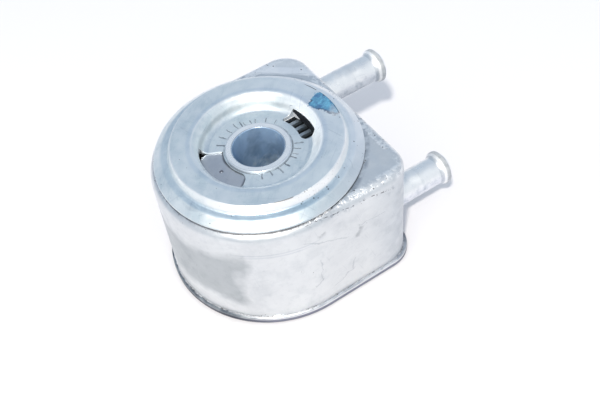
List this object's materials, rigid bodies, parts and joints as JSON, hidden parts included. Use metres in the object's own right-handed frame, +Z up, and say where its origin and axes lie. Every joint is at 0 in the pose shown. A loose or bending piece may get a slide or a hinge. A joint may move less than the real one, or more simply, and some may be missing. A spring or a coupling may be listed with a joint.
{
  "type": "engine oil cooler",
  "caption": "Round-backed stacked-plate oil cooler with a bolt bore, a filter seat ring with kidney oil ports and hose spigots on its flat end.",
  "frame": {"origin": "on the bore axis, in the plane of the base plate's underside", "axes": "+Z up the bore towards the filter seat, +X towards the hose spigots"},
  "size_m": [0.1546, 0.1146, 0.0815],
  "materials": {
    "can_sheet": "satin drawn aluminium with fine scratches",
    "cap_metal": "satin pressed aluminium with turning marks",
    "sleeve_metal": "smooth turned aluminium",
    "base_metal": "satin aluminium",
    "blank_metal": "matt aluminium",
    "spigot_metal": "satin drawn tube",
    "plate_sheet": "matt brazed sheet",
    "fin_metal": "bright thin sheet"
  },
  "bodies": {
    "root": {"housing_can": "can_sheet", "filter_seat_cap": "cap_metal", "centre_sleeve": "sleeve_metal", "base_plate": "base_metal", "port_blanking_plate": "blank_metal", "upper_hose_spigot": "spigot_metal", "lower_hose_spigot": "spigot_metal", "lower_plate_1": "plate_sheet", "upper_plate_1": "plate_sheet", "fin_sheet_1": "fin_metal", "lower_plate_2": "plate_sheet", "upper_plate_2": "plate_sheet", "fin_sheet_2": "fin_metal", "lower_plate_3": "plate_sheet", "upper_plate_3": "plate_sheet", "fin_sheet_3": "fin_metal", "lower_plate_4": "plate_sheet", "upper_plate_4": "plate_sheet", "fin_sheet_4": "fin_metal", "lower_plate_5": "plate_sheet", "upper_plate_5": "plate_sheet", "fin_sheet_5": "fin_metal", "lower_plate_6": "plate_sheet", "upper_plate_6": "plate_sheet", "fin_sheet_6": "fin_metal", "lower_plate_7": "plate_sheet", "upper_plate_7": "plate_sheet", "fin_sheet_7": "fin_metal", "lower_plate_8": "plate_sheet", "upper_plate_8": "plate_sheet", "fin_sheet_8": "fin_metal", "hub_ring_1": "plate_sheet", "hub_ring_2": "plate_sheet", "hub_ring_3": "plate_sheet", "hub_ring_4": "plate_sheet", "hub_ring_5": "plate_sheet", "hub_ring_6": "plate_sheet", "hub_ring_7": "plate_sheet", "hub_ring_8": "plate_sheet", "hub_ring_9": "plate_sheet"}
  },
  "joints": []
}
